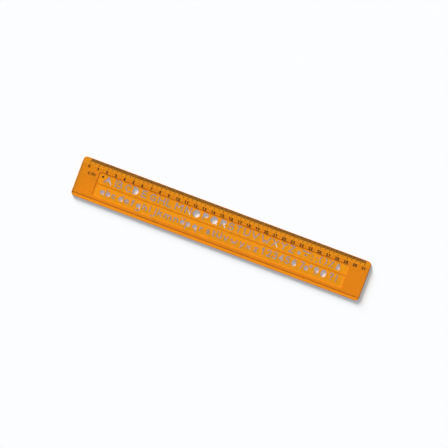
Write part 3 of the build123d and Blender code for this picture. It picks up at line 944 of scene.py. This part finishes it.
def mixed(tree, share, first, second):
    """Return a colour between two colours or sockets, by a share from 0 to 1."""
    node = add_node(tree, "ShaderNodeMix", data_type="RGBA")
    sockets = (node.inputs[0], node.inputs[6], node.inputs[7])
    for socket, value in zip(sockets, (share, first, second)):
        if isinstance(value, bpy.types.NodeSocket):
            tree.links.new(value, socket)
        else:
            socket.default_value = value
    return node.outputs[2]


print("helpers:", ", ".join(helper.__name__ for helper in (ramped, calculated, noise, mixed)))


# %% [markdown]
# A stencil slides over paper for years, so its plastic and its print carry the same fine marks:
# hairline scratches that run mostly along the plate, and dull patches where fingers held it. Both
# finishes need these marks, so they are one node group that is built once and placed in each
# material. Noise that is squeezed across and stretched along makes good hairlines.

# %% Build the handling marks
HAIRLINE_TURN = math.radians(9)
HAIRLINE_SCALE = (45, 5200, 400)
HAIRLINE_FROM = 0.64
HAIRLINE_TO = 0.74
PATCH_SCALE = 38
PATCH_DETAIL = 4
PATCH_FROM = 0.42
PATCH_TO = 0.68
PATCH_SHARE = 0.5

marks = bpy.data.node_groups.new("handling_marks", "ShaderNodeTree")
for name, kind in (
    ("Place", "NodeSocketVector"),
    ("Roughness", "NodeSocketFloat"),
    ("Wear", "NodeSocketFloat"),
):
    marks.interface.new_socket(name, in_out="INPUT", socket_type=kind)
for name in ("Roughness", "Patches", "Hairlines"):
    marks.interface.new_socket(name, in_out="OUTPUT", socket_type="NodeSocketFloat")
given = add_node(marks, "NodeGroupInput")
result = add_node(marks, "NodeGroupOutput")
stretch = add_node(marks, "ShaderNodeMapping")
stretch.inputs["Rotation"].default_value = (0, 0, HAIRLINE_TURN)
stretch.inputs["Scale"].default_value = HAIRLINE_SCALE
marks.links.new(given.outputs["Place"], stretch.inputs["Vector"])
hairlines = ramped(marks, noise(marks, stretch.outputs[0], 1, 0), HAIRLINE_FROM, HAIRLINE_TO)
clouds = noise(marks, given.outputs["Place"], PATCH_SCALE, PATCH_DETAIL)
patches = ramped(marks, clouds, PATCH_FROM, PATCH_TO)
soft_patches = calculated(marks, "MULTIPLY", patches, PATCH_SHARE)
marked = calculated(marks, "MAXIMUM", hairlines, soft_patches)
worn = calculated(marks, "MULTIPLY", marked, given.outputs["Wear"])
marks.links.new(calculated(marks, "ADD", given.outputs["Roughness"], worn), result.inputs["Roughness"])
marks.links.new(patches, result.inputs["Patches"])
marks.links.new(hairlines, result.inputs["Hairlines"])
print("handling marks give:", [item.name for item in marks.interface.items_tree if item.in_out == "OUTPUT"])


# %% [markdown]
# Both finishes start in the same way: a new material, its shader, the sockets that give a spot's
# place and slant, and the handling marks, which already drive the roughness.

# %% Start a finish
def new_finish(name, roughness, wear):
    """Return a new material with its shader, its place sockets and its handling marks."""
    material = bpy.data.materials.new(name)
    material.use_nodes = True
    tree = material.node_tree
    shader = tree.nodes["Principled BSDF"]
    place = add_node(tree, "ShaderNodeTexCoord")
    touched = add_node(tree, "ShaderNodeGroup", node_tree=marks)
    tree.links.new(place.outputs["Object"], touched.inputs["Place"])
    touched.inputs["Roughness"].default_value = roughness
    touched.inputs["Wear"].default_value = wear
    tree.links.new(touched.outputs["Roughness"], shader.inputs["Roughness"])
    return material, tree, shader, place, touched


print("a finish starts with the marks:", marks.name)


# %% [markdown]
# Clear amber plastic takes its depth of colour from its thickness: the sunk letter panel is a
# yellower orange, the full-height ends a deeper one. The thin slope is made darker than the ends:
# that is painted shade, which offsets the extra light the slope catches from the low sun. The
# height and the slant of each spot of the surface therefore choose its colour.

# %% Amber plastic: colour by thickness, painted shade on the slope
PLASTIC_PANEL = (1.0, 0.405, 0.003, 1)
PLASTIC_FULL = (0.88, 0.305, 0.0025, 1)
# The slope's colour is painted shade: darker than the ends, against the sun it catches.
PLASTIC_SLOPE_SHADED = (0.79, 0.28, 0.004, 1)
PLASTIC_ROUGHNESS = 0.12
PLASTIC_WEAR = 0.14
UNDERSIDE_FROM = -0.5
UNDERSIDE_TO = -0.9

amber, tree, shader, place, touched = new_finish("amber_plastic", PLASTIC_ROUGHNESS, PLASTIC_WEAR)
spot = add_node(tree, "ShaderNodeSeparateXYZ")
tree.links.new(place.outputs["Object"], spot.inputs[0])
facing = add_node(tree, "ShaderNodeSeparateXYZ")
tree.links.new(place.outputs["Normal"], facing.inputs[0])
above_panel = ramped(tree, spot.outputs["Z"], PANEL_FLOOR, PANEL_FLOOR + panel_depth / 2)
crest_line = scale_edge - SLOPE_WIDTH
on_slope = ramped(tree, spot.outputs["Y"], crest_line, crest_line + 1 * MM)
level_colour = mixed(tree, above_panel, PLASTIC_PANEL, PLASTIC_FULL)
depth_and_slope_shade_colour = mixed(tree, on_slope, level_colour, PLASTIC_SLOPE_SHADED)
underside = ramped(tree, facing.outputs["Z"], UNDERSIDE_FROM, UNDERSIDE_TO)
solid_colour = mixed(tree, underside, depth_and_slope_shade_colour, PLASTIC_FULL)
print("colours by thickness:", len((PLASTIC_PANEL, PLASTIC_FULL, PLASTIC_SLOPE_SHADED)))


# %% [markdown]
# The ticks of the scale are printed on top of clear plastic, and light that comes in at a slant
# throws their shadow into it. From above, each tick has a soft brown stripe beside it, and the
# row of ticks looks like a darker band. A value that goes up and down once per millimetre draws
# the stripes, and ramps at the zero line, the last tick and the tick ends frame them.

# %% Amber plastic: shade of the ticks
TICK_PITCH = 1 * MM
ZERO_LINE = 8.36 * MM
SCALE_REACH = 310 * MM
TICK_REACH = 3.6 * MM
TICK_SOFT_END = 0.6 * MM
ZERO_SOFT = 0.2 * MM
LAST_SOFT_FROM = 0.8 * MM
LAST_SOFT_TO = 0.4 * MM
STRIPE_PLACE = 0.42
HALF_A_STEP = 0.5
STRIPE_FROM = 0.40
STRIPE_TO = 0.12
STRIPE_SHARE = 0.68
TICK_SHADE = (0.30, 0.15, 0.02, 1)

along = calculated(tree, "SUBTRACT", spot.outputs["X"], ZERO_LINE - PLATE_LENGTH / 2)
steps = calculated(tree, "DIVIDE", along, TICK_PITCH)
shifted_steps = calculated(tree, "SUBTRACT", steps, STRIPE_PLACE)
beside_tick = calculated(tree, "PINGPONG", shifted_steps, HALF_A_STEP)
stripe = ramped(tree, beside_tick, STRIPE_FROM, STRIPE_TO)
tick_ends = scale_edge - TICK_REACH
within_reach = ramped(tree, spot.outputs["Y"], tick_ends, tick_ends + TICK_SOFT_END)
after_zero = ramped(tree, along, -ZERO_SOFT, ZERO_SOFT)
before_last = ramped(tree, along, SCALE_REACH + LAST_SOFT_FROM, SCALE_REACH + LAST_SOFT_TO)
in_scale = calculated(tree, "MULTIPLY", after_zero, before_last)
in_scale = calculated(tree, "MULTIPLY", within_reach, in_scale)
stripe = calculated(tree, "MULTIPLY", stripe, STRIPE_SHARE)
shaded = calculated(tree, "MULTIPLY", in_scale, stripe)
solid_colour = mixed(tree, shaded, solid_colour, TICK_SHADE)
print("stripes of shade:", round(SCALE_REACH / TICK_PITCH))


# %% [markdown]
# Steep faces are made the deepest orange. This is partly the deeper colour of plastic seen
# through its thickness and partly painted shade, the dark lines that a clear plate shows at its
# walls and steps. Faces that lean towards the sun get the same colour as painted shade only,
# because clear plastic lets that light pass on instead of showing it. A brown line of painted
# shade marks the two short ends.

# %% Amber plastic: painted shade on steep faces, sunward faces and ends
# A dark amber, used for painted shade here and for the real flow marks further on.
PLASTIC_DEEP_AND_SHADE = (0.60, 0.16, 0.003, 1)
STEEP_FROM = 0.8
STEEP_TO = 0.3
SUNWARD_SHADE_FROM = 0.15
SUNWARD_SHADE_TO = 0.55
SUNWARD_SHADE_DEPTH = 0.85
# A brown band of painted shade along both short ends, darkest at the very end.
END_SHADE_COLOUR = (0.42, 0.17, 0.02, 1)
END_SHADE_WIDTH = 1.6 * MM
END_SHADE_FULL = 0.4
END_SHADE_SHARE = 0.7

# Painted shade: steep faces and faces turned to the sun are mixed towards the dark amber.
level_share = calculated(tree, "ABSOLUTE", facing.outputs["Z"], 0)
steep = ramped(tree, level_share, STEEP_FROM, STEEP_TO)
into_light = add_node(tree, "ShaderNodeVectorMath", operation="DOT_PRODUCT")
tree.links.new(place.outputs["Normal"], into_light.inputs[0])
into_light.inputs[1].default_value = SUN_FROM.normalized().to_3d()
sunward_shade = ramped(tree, into_light.outputs["Value"], SUNWARD_SHADE_FROM, SUNWARD_SHADE_TO)
sunward_shade = calculated(tree, "MULTIPLY", sunward_shade, SUNWARD_SHADE_DEPTH)
deep_and_shade_share = calculated(tree, "MAXIMUM", steep, sunward_shade)
shade_painted_colour = mixed(tree, deep_and_shade_share, solid_colour, PLASTIC_DEEP_AND_SHADE)
# Painted shade: the brown band at the two short ends is mixed in here.
from_middle = calculated(tree, "ABSOLUTE", spot.outputs["X"], 0)
plate_end = PLATE_LENGTH / 2
shade_from, shade_to = plate_end - END_SHADE_WIDTH, plate_end - END_SHADE_FULL * END_SHADE_WIDTH
near_end = ramped(tree, from_middle, shade_from, shade_to)
end_shade = calculated(tree, "MULTIPLY", near_end, END_SHADE_SHARE)
shade_painted_colour = mixed(tree, end_shade, shade_painted_colour, END_SHADE_COLOUR)
print("end line in mm:", round(END_SHADE_WIDTH / MM, 1))


# %% [markdown]
# Slow flow marks from the mould vary the colour a little, and the hairline scratches are paler.
# The plastic lets part of the light through and scatters the rest. Its surface has the faint
# ripple that moulded plates show in a reflection, and the scratches are cut into it.

# %% Amber plastic: surface
FLOW_SCALE = (9, 34, 34)
FLOW_DETAIL = 3
FLOW_FROM = 0.35
FLOW_TO = 0.75
FLOW_SHARE = 0.12
SCRATCH_COLOUR = (1.0, 0.62, 0.25, 1)
SCRATCH_SHARE = 0.10
PLASTIC_CLEARNESS = 0.26
PLASTIC_BEND = 1.49
PLASTIC_SHINE = 0.35
RIPPLE_SCALE = 260
RIPPLE_DETAIL = 2
RIPPLE_STRENGTH = 0.35
RIPPLE_DEPTH = 0.02 * MM

flow = add_node(tree, "ShaderNodeMapping")
flow.inputs["Scale"].default_value = FLOW_SCALE
tree.links.new(place.outputs["Object"], flow.inputs["Vector"])
flow_marks = ramped(tree, noise(tree, flow.outputs[0], 1, FLOW_DETAIL), FLOW_FROM, FLOW_TO)
flow_share = calculated(tree, "MULTIPLY", flow_marks, FLOW_SHARE)
flowed_colour = mixed(tree, flow_share, shade_painted_colour, PLASTIC_DEEP_AND_SHADE)
scratch_share = calculated(tree, "MULTIPLY", touched.outputs["Hairlines"], SCRATCH_SHARE)
worn_colour = mixed(tree, scratch_share, flowed_colour, SCRATCH_COLOUR)
tree.links.new(worn_colour, shader.inputs["Base Color"])
shader.inputs["Transmission Weight"].default_value = PLASTIC_CLEARNESS
shader.inputs["IOR"].default_value = PLASTIC_BEND
shader.inputs["Specular IOR Level"].default_value = PLASTIC_SHINE
ripple = noise(tree, place.outputs["Object"], RIPPLE_SCALE, RIPPLE_DETAIL)
surface = add_node(tree, "ShaderNodeBump")
surface.inputs["Strength"].default_value = RIPPLE_STRENGTH
surface.inputs["Distance"].default_value = RIPPLE_DEPTH
scratched = calculated(tree, "SUBTRACT", ripple, touched.outputs["Hairlines"])
tree.links.new(scratched, surface.inputs["Height"])
tree.links.new(surface.outputs["Normal"], shader.inputs["Normal"])
print("clearness of the plastic:", PLASTIC_CLEARNESS)


# %% [markdown]
# A clear plate also colours its own shadow. A lamp ray that meets the plate is partly let through
# and comes out amber. More gets through the upper half millimetre, so that light reaches the
# paper inside the letters, and less below it, so that the plate keeps a firm shadow edge.

# %% Amber plastic: light that goes through
LIGHT_THROUGH_LOW = 0.05
LIGHT_THROUGH_HIGH = 0.85
LIGHT_THROUGH_COLOUR = (0.97, 0.74, 0.42, 1)
LIGHT_STEP = 0.2 * MM

lamp_rays = add_node(tree, "ShaderNodeLightPath")
let_through = add_node(tree, "ShaderNodeBsdfTransparent")
let_through.inputs["Color"].default_value = LIGHT_THROUGH_COLOUR
either = add_node(tree, "ShaderNodeMixShader")
in_step = ramped(tree, spot.outputs["Z"], PANEL_FLOOR - LIGHT_STEP, PANEL_FLOOR)
spread = calculated(tree, "MULTIPLY", in_step, LIGHT_THROUGH_HIGH - LIGHT_THROUGH_LOW)
let_share = calculated(tree, "ADD", spread, LIGHT_THROUGH_LOW)
let_share = calculated(tree, "MULTIPLY", lamp_rays.outputs["Is Shadow Ray"], let_share)
tree.links.new(let_share, either.inputs["Fac"])
tree.links.new(shader.outputs[0], either.inputs[1])
tree.links.new(let_through.outputs[0], either.inputs[2])
tree.links.new(either.outputs[0], tree.nodes["Material Output"].inputs["Surface"])
plate.data.materials.clear()
plate.data.materials.append(amber)
print("amber plastic nodes:", len(tree.nodes))


# %% [markdown]
# The scale, its numbers and the small marks are printed with brown-black ink. The ink is a thin
# matt film, a little uneven, and where it is thin the amber shows through as a warmer brown. A
# fine and a coarse noise together give that, and the handling marks dull it further.

# %% Black ink
INK_THICK = (0.012, 0.006, 0.004, 1)
INK_THIN = (0.075, 0.028, 0.006, 1)
INK_ROUGHNESS = 0.46
INK_WEAR = 0.2
INK_GRAIN_SCALE = 2600
INK_GRAIN_DETAIL = 2
INK_CLOUD_SCALE = 190
INK_CLOUD_DETAIL = 3
THIN_FROM = 0.22
THIN_TO = 0.46
SCRATCHED_THIN = 0.7
FILM_STRENGTH = 0.4
FILM_DEPTH = 0.02 * MM

ink, tree, shader, place, touched = new_finish("black_ink", INK_ROUGHNESS, INK_WEAR)
grain = noise(tree, place.outputs["Object"], INK_GRAIN_SCALE, INK_GRAIN_DETAIL)
cloud = noise(tree, place.outputs["Object"], INK_CLOUD_SCALE, INK_CLOUD_DETAIL)
unevenness = ramped(tree, calculated(tree, "MULTIPLY", grain, cloud), THIN_FROM, THIN_TO)
scratched = calculated(tree, "MULTIPLY", touched.outputs["Hairlines"], SCRATCHED_THIN)
worn_ink = calculated(tree, "MAXIMUM", unevenness, scratched)
tree.links.new(mixed(tree, worn_ink, INK_THICK, INK_THIN), shader.inputs["Base Color"])
film = add_node(tree, "ShaderNodeBump")
film.inputs["Strength"].default_value = FILM_STRENGTH
film.inputs["Distance"].default_value = FILM_DEPTH
tree.links.new(grain, film.inputs["Height"])
tree.links.new(film.outputs["Normal"], shader.inputs["Normal"])

for name, solid in solids.items():
    solid.data.materials.clear()
    solid.data.materials.append(amber if name == "stencil_plate" else ink)
print("black ink nodes:", len(tree.nodes))
